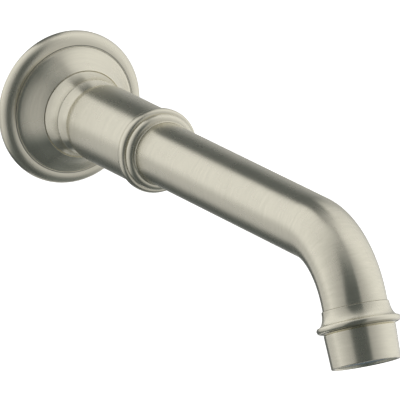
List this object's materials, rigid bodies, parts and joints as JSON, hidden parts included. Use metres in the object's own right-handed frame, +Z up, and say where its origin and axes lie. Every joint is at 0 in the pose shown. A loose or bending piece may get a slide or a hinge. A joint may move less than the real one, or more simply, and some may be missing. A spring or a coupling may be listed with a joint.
{
  "type": "wall mounted bath spout",
  "caption": "Long round wall spout with a stepped escutcheon, ringed collars, a turned-down outlet and a screw-in concealed aerator.",
  "frame": {"origin": "on the inlet axis in the wall plane, where the escutcheon's gasket meets the wall", "axes": "+Z up; +Y along the inlet thread into the wall, so the spout runs out along -Y; X is left and right"},
  "size_m": [0.0576, 0.2572, 0.0732],
  "materials": {
    "nickel": "brushed nickel plating on turned brass, fine lines round each axis",
    "brass": "machined bare brass",
    "steel": "plain stainless steel",
    "rubber": "matt black sealing rubber",
    "aerator_plastic": "pale blue-grey moulded plastic"
  },
  "bodies": {
    "spout": {"wall_nipple": "brass", "nipple_o_ring_rear": "rubber", "nipple_o_ring_front": "rubber", "spout_neck": "nickel", "sleeve_tube": "nickel", "collar_rear_bead": "nickel", "collar_front_shoulder": "nickel", "spout_tube": "nickel", "outlet_collar": "nickel", "outlet_shell": "nickel"},
    "escutcheon": {"escutcheon": "nickel", "escutcheon_gasket": "rubber", "escutcheon_o_ring": "rubber"},
    "grub_screw": {"grub_screw": "steel"},
    "aerator_seal": {"aerator_washer": "rubber"},
    "aerator": {"aerator_housing": "aerator_plastic", "aerator_strainer": "steel", "aerator_jet_disc": "aerator_plastic", "aerator_mixer": "aerator_plastic", "aerator_screen_upper": "steel", "aerator_screen_lower": "steel", "aerator_outlet_grid": "aerator_plastic"}
  },
  "joints": [
    {"name": "escutcheon_slide", "type": "slide", "parent": "spout", "child": "escutcheon", "axis": [0, -1, 0], "range_m": [0, 0.04]},
    {"name": "grub_screw_back_off", "type": "slide", "parent": "spout", "child": "grub_screw", "axis": [0, 0, -1], "range_m": [0, 0.0018]},
    {"name": "aerator_drop", "type": "slide", "parent": "spout", "child": "aerator_seal", "axis": [0, -0.3987, -0.9171], "range_m": [0, 0.0085]},
    {"name": "aerator_unscrew", "type": "hinge", "parent": "aerator_seal", "child": "aerator", "pos_m": [0, -0.21923, -0.01942], "axis": [0, -0.3987, -0.9171], "range_deg": [0, 2880]}
  ],
  "couplings": [
    {"joint": "aerator_drop", "follows": "aerator_unscrew", "m_per_rad": 0.00015915}
  ]
}
